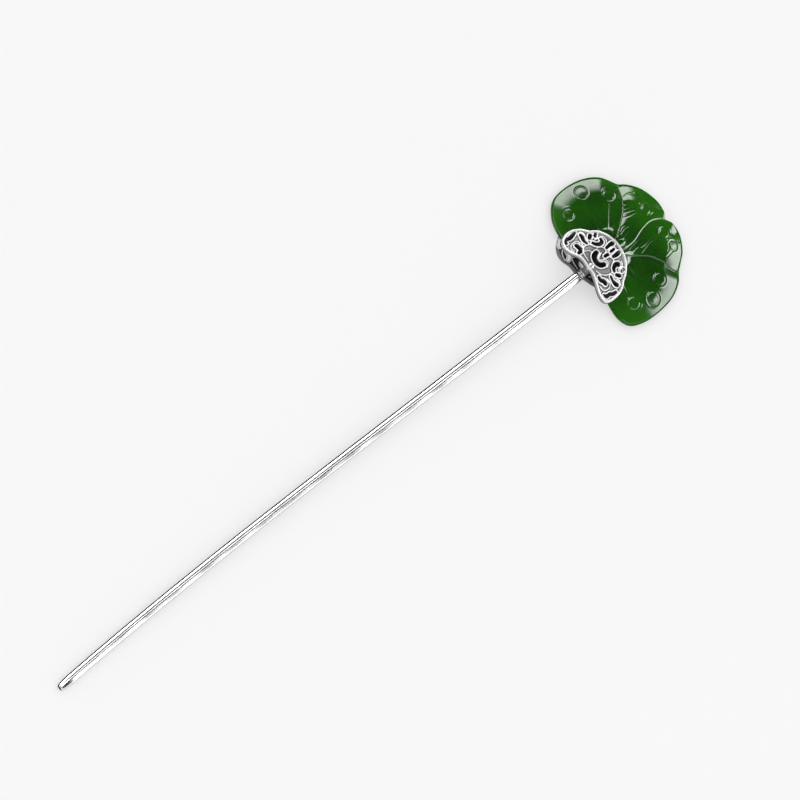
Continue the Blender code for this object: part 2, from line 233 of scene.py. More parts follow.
def shaft_rings():
    """|y/a|^p + |z/b|^p = 1, with p lower at the ridges than at the sides so that the ridges are
    crisp and the sides round, carried from tip to shoulder along a centre line that is bowed by
    shaft_bow (27/4) (1 - s)^2 s, where s is the share of the length."""
    tip = tip_round_length * np.linspace(0, 1, 26) ** 1.8
    body = np.linspace(tip_round_length, shaft_length - shoulder_round, 260)[1:]
    shoulder = shaft_length - shoulder_round * np.linspace(1, 0, 22)[1:] ** 1.8
    along = np.concatenate([tip, body, shoulder])
    share = along / shaft_length
    half = np.array(shaft_tip) + (np.array(shaft_head) - np.array(shaft_tip)) * share[:, None]
    tip_arc = np.sqrt(1 - (1 - np.clip(along / tip_round_length, 0, 1)) ** 2)
    end_arc = np.sqrt(1 - (1 - np.clip((shaft_length - along) / shoulder_round, 0, 1)) ** 2)
    size = tip_end_share + (1 - tip_end_share) * tip_arc
    size = size * (shoulder_end_share + (1 - shoulder_end_share) * end_arc)
    wave = filing_wave * (np.sin(along * 0.71) + 0.7 * np.sin(along * 0.37 + 1.0))
    half = half * size[:, None] + (wave * np.minimum(tip_arc, end_arc))[:, None]
    angle = np.linspace(0, 2 * np.pi, shaft_columns, endpoint=False)
    c, s = np.cos(angle), np.sin(angle)
    power = ridge_power + (side_power - ridge_power) * c ** 2
    reach = (np.abs(c) ** power + np.abs(s) ** power) ** (-1 / power)
    y, z = half[:, :1] * reach * c, half[:, 1:] * reach * s
    y = y - ridge_shear * z
    bowed = (shaft_bow * 27 / 4 * (1 - share) ** 2 * share)[:, None]
    x = np.broadcast_to((along - shaft_length)[:, None], y.shape)
    rod = np.stack([x, bowed + y * math.cos(shaft_roll) - z * math.sin(shaft_roll),
                    y * math.sin(shaft_roll) + z * math.cos(shaft_roll)], -1)
    tenon_x = np.array([0.0, 0.02, 2.0, 5.0, tenon_length - tenon_chamfer, tenon_length])
    tenon_r = tenon_radius * np.array([1.0, 1.0, 1.0, 1.0, 1.0, tenon_tip_share])
    tenon = np.stack(np.broadcast_arrays(tenon_x[:, None], tenon_r[:, None] * c, tenon_r[:, None] * s), -1)
    return np.concatenate([rod, tenon])


shaft_silver = silver("shaft_silver", (0.03, 1, 1), 5200.0, 0.13, 1.0)
shaft_points = shaft_rings()
shoulder_z = -leaned(shaft_points)[..., 2].min()
shaft = swept("polished_shaft", placed(on_shaft_axis(shaft_points)))
# Painted shade: the tenon, hidden in the collar and the post, is drawn dark.
set_oxide_shade_thinness(shaft, np.where(shaft_points[..., 0] > -0.02, 0.75, 0.0))
finish_piece(shaft, "shaft", shaft_silver)

# ---------------------------------------------------------------------------------------------
# Neck collar: a short turned silver tube with two beads, slid over the tenon between the shaft's
# shoulder and the post, and soldered there. Its waist is darkened where a cloth doesn't reach.
# ---------------------------------------------------------------------------------------------
joint_gap = 0.1
post_radius = 1.0
collar_start = joint_gap
collar_end = post_x - post_radius - joint_gap - shoulder_x
collar_radius = 0.95
collar_bore = 0.65


def turned(profile, count=72):
    """A closed profile of (x, r) pairs turned about the x axis: (x, r cos a, r sin a)."""
    angle = np.linspace(0, 2 * np.pi, count, endpoint=False)
    x, r = np.asarray(profile, float).T
    turned_y, turned_z = r[:, None] * np.cos(angle), r[:, None] * np.sin(angle)
    return np.stack(np.broadcast_arrays(x[:, None], turned_y, turned_z), -1)


def spline(points, per_span, closed=False):
    """Catmull-Rom: 0.5 (2b + (c-a)t + (2a-5b+4c-d)t2 + (3b-a-3c+d)t3) through the points."""
    points = np.asarray(points, float)
    if closed:
        a, b, c, d = (np.roll(points, shift, 0) for shift in (1, 0, -1, -2))
    else:
        padded = np.concatenate([points[:1], points, points[-1:]])
        a, b, c, d = padded[:-3], padded[1:-2], padded[2:-1], padded[3:]
    t = (np.arange(per_span) / per_span)[None, :, None]
    a, b, c, d = (part[:, None] for part in (a, b, c, d))
    curve = 0.5 * (2 * b + (c - a) * t + (2 * a - 5 * b + 4 * c - d) * t ** 2
                   + (3 * b - a - 3 * c + d) * t ** 3)
    curve = curve.reshape(-1, points.shape[1])
    return curve if closed else np.concatenate([curve, points[-1:]])


collar_length = collar_end - collar_start
# Shares of its length and radius: a bead, a waist, and a bead.
collar_outer = [(0.0, 0.84), (0.06, 0.95), (0.16, 1.0), (0.27, 0.96), (0.34, 0.84), (0.42, 0.80),
                (0.58, 0.80), (0.66, 0.84), (0.73, 0.96), (0.84, 1.0), (0.94, 0.95), (1.0, 0.84)]
outer = spline([(collar_start + collar_length * t, collar_radius * r) for t, r in collar_outer], 4)
inner = np.array([(collar_end, collar_bore), (collar_start, collar_bore)])
collar_points = turned(np.concatenate([outer, inner]))
collar = swept("turned_collar", placed(on_shaft_axis(collar_points)), wrap=True)
collar_depth = 1 - np.linalg.norm(collar_points[..., 1:], axis=-1) / collar_radius
collar_darkening = 2.2
set_oxide_shade_thinness(collar, np.clip(collar_depth * collar_darkening, 0, 1))
collar_silver = silver("collar_silver", (1, 0.2, 0.2), 6000.0, 0.2, 0.8)
finish_piece(collar, "neck_collar", collar_silver)

# ---------------------------------------------------------------------------------------------
# Waist post: a turned silver post that stands between the two leaves at their waist, bored for
# the tenon, with a spigot through each leaf; the front one is burred over into a smooth low boss.
# ---------------------------------------------------------------------------------------------
spigot_radius = 0.5
spigot_low = 0.03
boss_radius = 0.65
boss_height = 0.36
boss_low = post_high.z / MM - 0.322
back_thickness = 0.7
leaf_thickness = 0.8
post_waist_radius = 0.9
post_waist = (1.85, 4.9)
post_step = 0.06
axis_radius = 0.001
leaf_under_z = boss_low - joint_gap - leaf_thickness

# The profile as (radius, height), from the lower spigot's foot on the axis to the boss's top.
post_low_z = back_thickness + joint_gap
post_high_z = leaf_under_z - joint_gap
boss_arc = [(boss_radius * math.cos(a), boss_low + boss_height * math.sin(a))
            for a in np.linspace(0, 1.45, 12)]
post_profile = [(axis_radius, spigot_low), (spigot_radius, spigot_low), (spigot_radius, post_low_z),
                (post_radius * 0.95, post_low_z), (post_radius, post_low_z + post_step),
                (post_radius, post_waist[0] - 0.15), (post_waist_radius, post_waist[0]),
                (post_waist_radius, post_waist[1]), (post_radius, post_waist[1] + 0.2),
                (post_radius, post_high_z - post_step), (post_radius * 0.95, post_high_z),
                (spigot_radius, post_high_z), (spigot_radius, boss_low), *boss_arc,
                (axis_radius, boss_low + boss_height)]
post_turn = turned([(z, r) for r, z in post_profile])
post_points = np.stack([post_x + post_turn[..., 1], post_turn[..., 2], post_turn[..., 0]], -1)
post = swept("waist_post_turned", placed(post_points), sharp=40)
# Painted shade: the post below the front leaf, between the two leaves, is drawn dark.
set_oxide_shade_thinness(post, np.where(post_points[..., 2] < leaf_under_z, 0.6, 0.0))
finish_piece(post, "waist_post", silver("post_silver", (1, 1, 0.2), 5000.0, 0.16, 0.6))

# ---------------------------------------------------------------------------------------------
# Back leaf: the flat one of two cast and pierced silver leaves, a little wider than the front
# one. Its outer face carries the scrolls and is what the pin rests on; its inner face is plain.
# ---------------------------------------------------------------------------------------------
wire_radius = 0.225
wire_inset = 0.3
tab_reach = boss_radius + joint_gap + wire_radius + wire_inset
tab_half_angle = math.pi * 0.77
tab = [(post_x + tab_reach * math.cos(a), tab_reach * math.sin(a))
       for a in (math.pi, tab_half_angle, -tab_half_angle)]
leaf_edge = [
    tab[0], tab[1], (-0.9, 2.9), (-1.6, 4.9), (-1.7, 6.7), (-0.8, 8.2), (0.6, 8.9),
    (2.0, 9.1), (3.5, 8.7), (4.8, 7.8), (5.8, 6.4), (6.9, 5.6), (7.9, 4.1), (8.5, 2.1),
    (8.7, -0.1), (8.3, -2.7), (7.5, -4.6), (6.3, -6.2), (5.0, -7.1), (3.7, -8.3), (1.8, -8.9),
    (-0.2, -8.9), (-1.6, -8.3), (-2.2, -6.9), (-2.1, -5.1), (-1.5, -2.9), tab[2],
]
# Each piercing is a comma or hook sawn along a short path: (x, y, half width) at each point.
piercings = [
    [(-0.4, 7.3, 0.38), (0.2, 8.0, 0.40), (1.1, 7.7, 0.45), (2.1, 7.8, 0.42), (3.1, 8.0, 0.28)],
    [(3.6, 6.8, 0.34), (3.5, 6.3, 0.42), (3.2, 5.8, 0.42), (3.0, 5.2, 0.37), (3.0, 4.5, 0.30)],
    [(5.1, 5.4, 0.43), (4.4, 5.0, 0.38)],
    [(6.3, 5.0, 0.35), (5.7, 4.6, 0.31)],
    [(4.1, 3.7, 0.34), (4.5, 3.0, 0.43), (5.2, 2.6, 0.46), (5.9, 2.7, 0.42), (6.2, 3.3, 0.32)],
    [(7.6, 1.0, 0.52), (6.7, 1.1, 0.40), (5.7, 1.0, 0.31)],
    [(7.0, -0.2, 0.30), (6.0, -0.2, 0.32)],
    [(7.6, -1.4, 0.38), (6.9, -1.5, 0.50), (5.7, -1.4, 0.32)],
    [(4.1, -0.2, 0.35), (4.9, -0.3, 0.38)],
    [(3.1, 1.6, 0.50), (2.3, 1.4, 0.60), (1.7, 0.8, 0.60), (1.5, -0.2, 0.60), (1.9, -1.1, 0.60),
     (2.7, -1.5, 0.54)],
    [(0.9, 5.4, 0.52), (0.9, 4.6, 0.52), (0.6, 4.0, 0.45), (-0.1, 3.9, 0.35)],
    [(5.7, -3.4, 0.56), (5.1, -3.1, 0.52), (4.3, -3.4, 0.45), (4.0, -4.0, 0.35)],
    [(6.3, -5.0, 0.35), (5.6, -5.1, 0.30)],
    [(4.0, -5.0, 0.38), (4.7, -5.6, 0.40)],
    [(2.6, -4.6, 0.32), (2.5, -5.5, 0.35), (2.7, -6.3, 0.48), (3.0, -6.8, 0.48)],
    [(-0.1, -3.1, 0.40), (-0.1, -3.7, 0.43), (0.4, -4.3, 0.50), (0.6, -4.9, 0.52)],
    [(-1.1, -6.9, 0.38), (-0.5, -7.4, 0.43), (0.3, -7.4, 0.40), (1.1, -7.8, 0.40), (1.9, -7.9, 0.35)],
]
# Raised threads that draw the clouds' outlines where no piercing does.
threads = [
    [(0.2, 1.3), (0.5, 2.6), (1.0, 3.7), (2.1, 4.3), (3.2, 4.0), (3.7, 2.9)],
    [(3.9, 2.3), (4.9, 1.9), (5.3, 0.9), (4.7, 0.3)],
    [(5.0, -0.9), (5.3, -2.0), (4.4, -2.6), (3.7, -3.1), (3.3, -3.9), (1.9, -3.7), (0.7, -2.7), (0.2, -1.5)],
    [(-0.9, 4.4), (-0.6, 5.7), (0.5, 6.4), (1.7, 6.2), (2.1, 5.2), (1.8, 4.4)],
    [(1.3, 3.4), (2.0, 3.0), (2.4, 2.3)],
    [(4.6, 4.1), (5.5, 3.9), (6.9, 3.7), (7.1, 2.7), (6.6, 1.9)],
    [(3.8, 7.6), (4.4, 6.9), (4.1, 6.0)],
    [(-1.0, -4.6), (-0.6, -5.9), (0.7, -6.3), (1.6, -5.6), (1.5, -4.4)],
    [(3.6, -7.4), (4.0, -6.5), (3.6, -5.8)],
    [(6.9, -3.2), (6.5, -4.2), (5.4, -4.3), (4.9, -4.6)],
    [(3.0, -2.5), (3.8, -1.7), (3.6, -0.8), (2.9, -0.4), (2.4, 0.1), (3.1, 0.6), (3.9, 0.9)],
]


def to_segments(px, py, path):
    """Distance to each piece of a path and the share along it, the nearest piece kept.
    Returns distance, the path's own third value there, and which side (+ is left) the point is on."""
    best = np.full(px.shape, 1e3)
    half = np.zeros(px.shape)
    side = np.ones(px.shape)
    thick = path.shape[1] > 2
    for start, end in zip(path[:-1], path[1:]):
        dx, dy = end[0] - start[0], end[1] - start[1]
        t = np.clip(((px - start[0]) * dx + (py - start[1]) * dy) / max(dx * dx + dy * dy, 1e-12), 0, 1)
        off_x, off_y = px - start[0] - t * dx, py - start[1] - t * dy
        away = np.hypot(off_x, off_y)
        own = start[2] + t * (end[2] - start[2]) if thick else np.zeros(px.shape)
        nearer = away - own < best - half
        best, half = np.where(nearer, away, best), np.where(nearer, own, half)
        side = np.where(nearer, np.sign(dx * off_y - dy * off_x), side)
    return best, half, side


def near(px, py, path, margin):
    """Which points lie within a margin of a path's box, so that only they are measured."""
    return ((px > path[:, 0].min() - margin) & (px < path[:, 0].max() + margin)
            & (py > path[:, 1].min() - margin) & (py < path[:, 1].max() + margin))


def inside_loop(px, py, loop):
    """Even-odd rule: a point is inside when a ray from it crosses the loop an odd number of times."""
    inside = np.zeros(px.shape, bool)
    for (ax, ay), (bx, by) in zip(loop, np.roll(loop, -1, 0)):
        crosses = (ay > py) != (by > py)
        at = ax + (py - ay) * (bx - ax) / (by - ay if by != ay else 1e-12)
        inside ^= crosses & (px < at)
    return inside


def within_loop(px, py, loop):
    """Signed distance to a closed loop, positive inside it."""
    away, _, _ = to_segments(px, py, np.concatenate([loop, loop[:1]]))
    return np.where(inside_loop(px, py, loop), away, -away)


def from_paths(px, py, paths, reach):
    """Distance to the nearest of several paths, less its half width there, and no more than reach."""
    gap = np.full(px.shape, reach)
    for path in paths:
        chosen = near(px, py, path, reach + 0.7)
        away, half, _ = to_segments(px[chosen], py[chosen], path)
        gap[chosen] = np.minimum(gap[chosen], away - half)
    return gap


def smooth(t):
    """3t^2 - 2t^3 between 0 and 1, and level beyond them."""
    t = np.clip(t, 0, 1)
    return t * t * (3 - 2 * t)


def span_of(node):
    """A node's box seen from above, in millimetres from the waist and a little wider all round."""
    low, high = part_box(node)
    return [((corner.x - origin.x) / MM + spare, (corner.y - origin.y) / MM + spare)
            for corner, spare in ((low, -0.1), (high, 0.1))]


def thick_sheet(name, node, step, inside_by, top, bottom, oxide_shade_thinness, sharp=50):
    """A sheet cut to where inside_by(x, y) > 0 and given two faces, z = top and z = bottom.
    Grid corners close to the cut are drawn onto it along the distance's slope, so that the
    outline is smooth; cells with all four corners inside are kept, and the sides are walled."""
    low, high = span_of(node)
    px, py = np.meshgrid(np.arange(low[0], high[0] + step, step), np.arange(low[1], high[1] + step, step),
                         indexing="ij")
    depth = inside_by(px, py)
    slope_x, slope_y = np.gradient(depth, step)
    steep = np.maximum(slope_x ** 2 + slope_y ** 2, 0.25)
    drawn = np.abs(depth) < 0.62 * step
    px = px - np.where(drawn, depth * slope_x / steep, 0)
    py = py - np.where(drawn, depth * slope_y / steep, 0)
    inside = (depth > 0) | drawn
    depth = np.where(drawn, 0, depth)
    rows, columns = px.shape
    index = np.arange(rows * columns).reshape(rows, columns)
    corner = np.stack([index[:-1, :-1], index[1:, :-1], index[1:, 1:], index[:-1, 1:]], -1).reshape(-1, 4)
    kept = inside.ravel()[corner]
    quads = corner[kept.all(1)]
    three = corner[kept.sum(1) == 3]
    tri_mask = inside.ravel()[three]
    triangles = three[tri_mask].reshape(-1, 3)
    used = np.unique(np.concatenate([quads.ravel(), triangles.ravel()]))
    renumber = np.zeros(rows * columns, int)
    renumber[used] = np.arange(len(used))
    quads, triangles = renumber[quads], renumber[triangles]
    x, y, depth = px.ravel()[used], py.ravel()[used], depth.ravel()[used]
    count = len(used)
    edges = np.concatenate([np.stack([quads, np.roll(quads, -1, 1)], -1).reshape(-1, 2),
                            np.stack([triangles, np.roll(triangles, -1, 1)], -1).reshape(-1, 2)])
    keys = edges.min(1).astype(np.int64) * count + edges.max(1)
    _, first, times = np.unique(keys, return_index=True, return_counts=True)
    rim = edges[first[times == 1]]
    walls = np.stack([rim[:, 1], rim[:, 0], rim[:, 0] + count, rim[:, 1] + count], -1)
    upper, lower = top(x, y, depth), bottom(x, y, depth)
    vertices = np.concatenate([np.stack([x, y, upper], -1), np.stack([x, y, lower], -1)])
    faces = (quads.tolist() + triangles.tolist() + (quads[:, ::-1] + count).tolist()
             + (triangles[:, ::-1] + count).tolist() + walls.tolist())
    piece = add_piece(name, placed(vertices), faces, sharp)
    set_oxide_shade_thinness(piece, oxide_shade_thinness(x, y, depth))
    return piece


bead_radius = 0.17
thread_radius = 0.15
thread_rise = 0.85
foot_radius = 0.11
rim_band = 0.62
rim_rise = 0.3
back_hollow = 0.30
recess_level = 0.62
crest_level = 0.96


def bead(offset, radius):
    """A half-round bead: sqrt(1 - (offset / radius)^2), nothing beyond its radius."""
    return np.sqrt(np.clip(1 - (offset / radius) ** 2, 0, None))


class LeafPattern:
    """The leaf's outline, piercings and threads, laid out for one leaf, and the relief they give."""

    def __init__(self, *layout):
        self.edge = spline(self.laid_out(leaf_edge, *layout), 8, closed=True)
        self.cuts = [spline(self.laid_out(path, *layout), 6) for path in piercings]
        self.threads = [spline(self.laid_out(path, *layout), 6) for path in threads]

    def laid_out(self, points, widening, turn, lift, sweep, cut_share):
        """Widened across the pin, turned about the waist, lifted at both ends, and swept forward
        on the right; a cut's half width keeps only its share."""
        points = np.array(points, float)
        wide = points[:, 1] * widening
        off = points[:, 0] - post_x
        forward = lift * wide ** 2 + sweep * np.clip(-wide, 0, None)
        points[:, 0] = post_x + off * math.cos(turn) - wide * math.sin(turn) + forward
        points[:, 1] = off * math.sin(turn) + wide * math.cos(turn)
        points[:, 2:] *= cut_share
        return points

    def inside(self, px, py):
        """Signed distance to the metal's edge, the outline's or a piercing's."""
        return np.minimum(within_loop(px, py, self.edge), from_paths(px, py, self.cuts, 1.5))

    def relief(self, x, y):
        """0 in the hollows and 1 on the beads that follow each piercing, each thread and the rim;
        and how dark the oxide is, darkest in a fine line at the foot of each bead."""
        from_edge = within_loop(x, y, self.edge)
        from_cut = from_paths(x, y, self.cuts, 1.5)
        from_thread = from_paths(x, y, self.threads, 1.5)
        height = np.maximum(bead(from_cut - bead_radius, bead_radius),
                            thread_rise * bead(from_thread, thread_radius))
        rim = rim_rise * smooth((rim_band + 0.12 - from_edge) / 0.12)
        height = np.maximum(height, rim)
        foot = np.maximum(bead(from_cut - 2 * bead_radius - 0.06, foot_radius),
                          bead(from_thread - thread_radius - 0.04, foot_radius))
        return height, (0.62 + 0.33 * foot) * (1 - smooth(height * 1.3))


# Widening, turn, lift, sweep and the cuts' share of their width.
back_pattern = LeafPattern(1.09, 0.21, 0.03, 0.24, 0.85)
back_relief = {}


def back_outer(x, y, depth):
    """Outer face, looking down: beads reach z = 0 and the hollows are sunk above it."""
    back_relief["height"], back_relief["oxide"] = back_pattern.relief(x, y)
    return back_hollow * (1 - back_relief["height"])


def back_inner(x, y, depth):
    """Inner face: the same pattern, faint, as the casting's back shows it."""
    height, _ = back_pattern.relief(x, y)
    return back_thickness - 0.14 * (1 - height)


leaf_silver = silver("leaf_silver", (1, 1, 1), 4200.0, 0.26, 0.35)
back_leaf = thick_sheet(
    "back_leaf_scrolls", "back_leaf", 0.075, back_pattern.inside, back_inner, back_outer,
    # Oxide in the scrolls' hollows, made darker as painted shade and laid on both faces, the inner face too.
    lambda x, y, depth: np.tile(np.clip(back_relief["oxide"] * 1.6, 0, 1), 2),
)
finish_piece(back_leaf, "back_leaf", leaf_silver)

# ---------------------------------------------------------------------------------------------
# Jade fan: one piece of dark green jade, carved as two spotted wings over two crest lobes and
# polished. It is thickest in the clasp, rolled off at every lobe's edge, and nearly flat behind.
# ---------------------------------------------------------------------------------------------
jade_back_z = 0.8
jade_rim_thickness = 1.9
jade_rise = 3.4
arch_half_width = 11.0
arch_fall = 24.0
jade_base_x = 1.15
bevel_width = 4.0
bevel_drop = 1.45
line_drop = 0.45
line_width = 1.3
lobe_steps = (0.50, 0.30, 0.16)
step_width = 0.16
spot_depth = 0.10
ring_width = 0.16
vein_depth = 0.07
vein_width = 0.13
curl_depth = 0.055
curl_width = 0.13
edge_round = 0.45
back_edge_round = 0.7
thin_reach = 1.6
jade_step = 0.12

left_wing = [(jade_base_x, 3.0), (0.9, 7.0), (1.3, 10.5), (2.4, 13.5), (5.0, 16.3), (8.8, 17.1),
             (13.6, 16.4), (17.6, 14.2), (20.0, 10.5)]
left_crest = [(20.0, 10.5), (22.0, 9.0), (24.0, 6.3), (25.1, 2.5), (24.9, -0.3), (23.8, -2.0)]
right_crest = [(23.8, -2.0), (24.7, -4.0), (24.3, -6.9), (22.5, -9.9), (20.6, -11.5), (18.5, -13.0)]
right_wing = [(18.5, -13.0), (16.6, -15.1), (13.2, -16.7), (9.0, -17.3), (4.8, -17.1), (1.2, -15.7),
              (-0.1, -12.9), (0.1, -9.5), (0.7, -5.5), (jade_base_x, -3.0)]
jade_edge = np.concatenate([spline(lobe, 8)[:-1]
                            for lobe in (left_wing, left_crest, right_crest, right_wing)])

# Where one lobe lies over the next, between the notch in the outline and the clasp.
wing_over_crest = spline([(20.3, 10.9), (18.7, 8.0), (16.7, 5.4), (14.7, 3.9), (12.5, 2.5), (10.0, 1.3),
                          (7.0, 0.4)], 6)
crest_groove = spline([(24.2, -2.3), (22.2, -1.1), (20.0, -0.4), (17.0, -0.7), (13.8, -1.6), (10.5, -1.7),
                       (7.5, -1.4)], 6)
crest_over_wing = spline([(7.0, -2.0), (9.6, -3.0), (12.3, -4.6), (14.8, -6.5), (16.5, -9.1), (17.4, -11.6),
                          (19.0, -13.6)], 6)

# Ringed spots: centre and radius.
spots = [(5.6, 12.0, 1.3), (11.5, 14.0, 1.5), (16.2, 9.9, 1.35), (13.2, -11.7, 1.45), (9.1, -14.2, 1.6),
         (4.5, -12.3, 1.5), (20.9, 2.2, 1.1), (21.1, -4.3, 1.25), (21.0, -7.7, 1.15)]
vein_root = (6.5, 0.0)
# A small flat cut by the leaf's far tip: centre, half lengths and slope.
facet_centre, facet_size, facet_slope = (10.6, 0.2), (1.3, 0.75), 0.42
# Cut lines on the crest: curls, a fan of ribs and the hook beside the right spot.
crest_lines = [
    [(12.1, 1.5), (14.0, 1.9), (16.7, 1.2)],
    [(11.8, 0.4), (13.8, 0.9), (16.5, 0.2)],
    [(12.1, -0.4), (13.7, 0.1), (15.8, -0.4)],
    [(11.2, -2.3), (13.6, -2.0), (16.1, -1.8)],
    [(11.8, -3.5), (16.5, -3.0), (20.8, -2.4)],
    [(13.6, -4.9), (16.2, -4.3), (18.9, -4.2)],
    [(15.1, -7.0), (16.8, -8.1), (18.5, -8.1), (20.1, -7.4)],
    [(15.1, -7.5), (16.7, -8.7), (18.6, -8.8), (20.3, -8.6)],
    [(17.2, 6.3), (19.7, 5.3)],
    [(16.6, 5.5), (19.2, 4.5)],
    [(16.0, 4.8), (18.6, 3.8)],
    [(15.2, 4.0), (16.8, 3.4), (18.8, 3.0)],
    [(19.6, 3.6), (20.6, 4.3), (21.9, 4.2), (22.5, 3.3)],
    [(20.6, 7.0), (21.6, 5.9), (22.9, 5.5)],
    [(18.9, 7.5), (20.3, 7.5), (21.6, 6.9)],
    [(22.8, 3.4), (23.5, 1.9), (23.2, 0.4)],
    [(19.0, 1.6), (20.2, 0.8), (21.8, 0.6), (23.0, 0.9)],
    [(17.4, 2.2), (18.8, 1.3), (20.3, 0.1)],
    [(17.2, -5.6), (19.0, -5.9), (20.6, -6.1)],
    [(22.6, -5.2), (23.3, -6.6), (22.9, -8.0)],
    [(14.4, -5.9), (16.4, -6.1), (18.2, -6.9)],
    [(12.6, 2.1), (13.6, 2.5), (14.5, 2.2), (14.8, 1.5)],
    [(12.3, -3.0), (14.5, -3.9), (17.4, -3.6), (19.6, -3.4)],
]


def crown(x, y):
    """Height of the arch above the rim: rise (1 - (y/w)^2)^2 (1 - (x/l)^2), nothing outside it."""
    across = np.clip(1 - (y / arch_half_width) ** 2, 0, None) ** 2
    along = np.clip(1 - (np.clip(x, 0, None) / arch_fall) ** 2, 0, None)
    return jade_rise * across * along


def cut_line(offset, width):
    """A V-like groove with softly raised shoulders: -exp(-(d/w)^2) + 0.35 exp(-((d-2w)/w)^2)."""
    return -np.exp(-(offset / width) ** 2) + 0.35 * np.exp(-((offset - 2 * width) / width) ** 2)


def lobe_edges(x, y):
    """Signed distances to the three lobe lines, positive on the side that lies on top."""
    left, _, left_side = to_segments(x, y, wing_over_crest)
    middle, _, middle_side = to_segments(x, y, crest_groove)
    right, _, right_side = to_segments(x, y, crest_over_wing)
    return -left * left_side, -middle * middle_side, right * right_side


leaf_loop = spline(leaf_edge, 8, closed=True)


def carved(x, y, depth):
    """The jade's front, as a sum of heights: the rim and arch, the bevel at the outline, the facet,
    a dip at each lobe line, the step s smooth(d / w + 1/2) exp(-d / reach) on its upper side, domed
    and ringed spots with a vein from each wing spot, the crest's curls, and a quarter-round edge."""
    left, middle, right = lobe_edges(x, y)
    on_crest = (left < 0) & (right > 0)
    to_line = np.minimum(np.abs(left), np.abs(right))
    to_line = np.where(on_crest, np.minimum(to_line, np.abs(middle) + 0.2), to_line)
    hollowed = 1 - 0.6 * smooth((x - 7) / 5)
    wing_hollow = np.minimum(1 - 0.75 * smooth((x - 5.5) / 5),
                             1 - 0.5 * smooth((1.8 - within_loop(x, y, leaf_loop)) / 1.8))
    hollowed += (wing_hollow - hollowed) * smooth((np.abs(y) - 2.5) / 2.5)
    height = jade_back_z + jade_rim_thickness + crown(x, y) * hollowed
    bevel = bevel_drop * np.clip(1 - depth / bevel_width, 0, 1) ** 1.12
    height -= bevel * np.where(on_crest, 0.35 + 0.65 * smooth((np.abs(middle) - 1) / 3), 1)
    facet_x, facet_y = x - facet_centre[0], y - facet_centre[1]
    facet = np.exp(-((facet_x / facet_size[0]) ** 2 + (facet_y / facet_size[1]) ** 2) ** 2)
    height -= facet_slope * facet_y * facet
    height -= line_drop * np.exp(-to_line / line_width)
    for side, step, reach, where in ((left, lobe_steps[0], 3.0, 1), (right, lobe_steps[1], 3.0, left < 0.1),
                                     (middle, lobe_steps[2], 2.5, on_crest)):
        height += step * smooth(side / step_width + 0.5) * np.exp(-np.clip(side, 0, None) / reach) * where
    for cx, cy, radius in spots:
        off = np.hypot(x - cx, y - cy)
        height += spot_depth * np.clip(1 - (off / radius) ** 2, 0, None)
        height += spot_depth * cut_line(np.abs(off - radius), ring_width) * (off < radius + 0.8)
        if abs(cy) > 8.5:
            to_root = (vein_root[0] - cx, vein_root[1] - cy)
            stem = np.array([(cx + to_root[0] * t, cy + to_root[1] * t)
                             for t in (radius / math.hypot(*to_root) * 1.35, 0.8)])
            away, _, _ = to_segments(x, y, stem)
            height += vein_depth * cut_line(away, vein_width) * (away < 0.8)
    for path in crest_lines:
        away, _, _ = to_segments(x, y, spline(path, 6))
        height -= curl_depth * np.exp(-(away / curl_width) ** 2)
    rim = np.clip(1 - depth / edge_round, 0, 1)
    return height - edge_round * (1 - np.sqrt(1 - rim ** 2))


def carved_back(x, y, depth):
    """The jade's back: flat, rounded at the edge, with a shallow groove along each lobe line."""
    left, middle, right = (np.abs(part) for part in lobe_edges(x, y))
    groove = 0.22 * (np.exp(-(left / 0.45) ** 2) + np.exp(-(right / 0.45) ** 2))
    rim = np.clip(1 - depth / back_edge_round, 0, 1)
    return jade_back_z + groove + back_edge_round * (1 - np.sqrt(1 - rim ** 2))


def jade_material():
    """Dark green jade: cloudy green, faint dark flecks and a wet polish; thin rims painted paler as a glow
    of light shining through, and a dull near-black painted shade where the front leaf covers it."""
    made, flow, shader = new_material("carved_jade", {
        "IOR": 1.62, "Subsurface Weight": 0.25, "Subsurface Radius": (0.3, 1.0, 0.25),
        "Subsurface Scale": 0.001, "Coat Roughness": 0.04,
    })
    place = flow.node("ShaderNodeTexCoord", output=3)
    painted_rim_glow = flow.node("ShaderNodeAttribute", {"attribute_name": "oxide_shade_thinness"}, output=2)
    under_leaf_shade = flow.node("ShaderNodeAttribute", {"attribute_name": "under_leaf_shade"}, output=2)
    clouds = noise_at(flow, place, 95.0, (1, 0.6, 1), 4.0)
    flecks = noise_at(flow, place, 900.0, (1, 1, 1), 2.0)
    waves = noise_at(flow, place, 420.0, (1, 1, 1), 2.0)
    body = clouds.rise(0.3, 0.7).mix((0.004, 0.046, 0.0002, 1), (0.013, 0.112, 0.0003, 1))
    # Painted glow: thin rims drawn paler green, as light shining through them.
    with_rim_glow = (painted_rim_glow * 0.55).mix(body, (0.022, 0.17, 0.002, 1))
    flecked = (flecks.rise(0.62, 0.75) * 0.5).mix(with_rim_glow, (0.003, 0.03, 0.003, 1))
    # Painted shade: near-black, dull and without coat where the front leaf covers the jade.
    with_under_leaf_shade = under_leaf_shade.mix(flecked, (0.006, 0.007, 0.006, 1))
    rough = 0.16 + (flecks - 0.5) * 0.08 + under_leaf_shade * 0.5
    coat = (0.8 + (clouds - 0.5) * 0.3) * (1 - under_leaf_shade)
    bump = flow.node("ShaderNodeBump", {}, {"Strength": 0.35, "Distance": 0.00006, "Height": waves})
    for socket, value in (("Base Color", with_under_leaf_shade), ("Roughness", rough), ("Coat Weight", coat),
                          ("Normal", bump)):
        flow.tree.links.new(value.socket, shader.inputs[socket])
    return made


def jade_inside(px, py):
    """Signed distance to the jade's outline."""
    return within_loop(px, py, jade_edge)


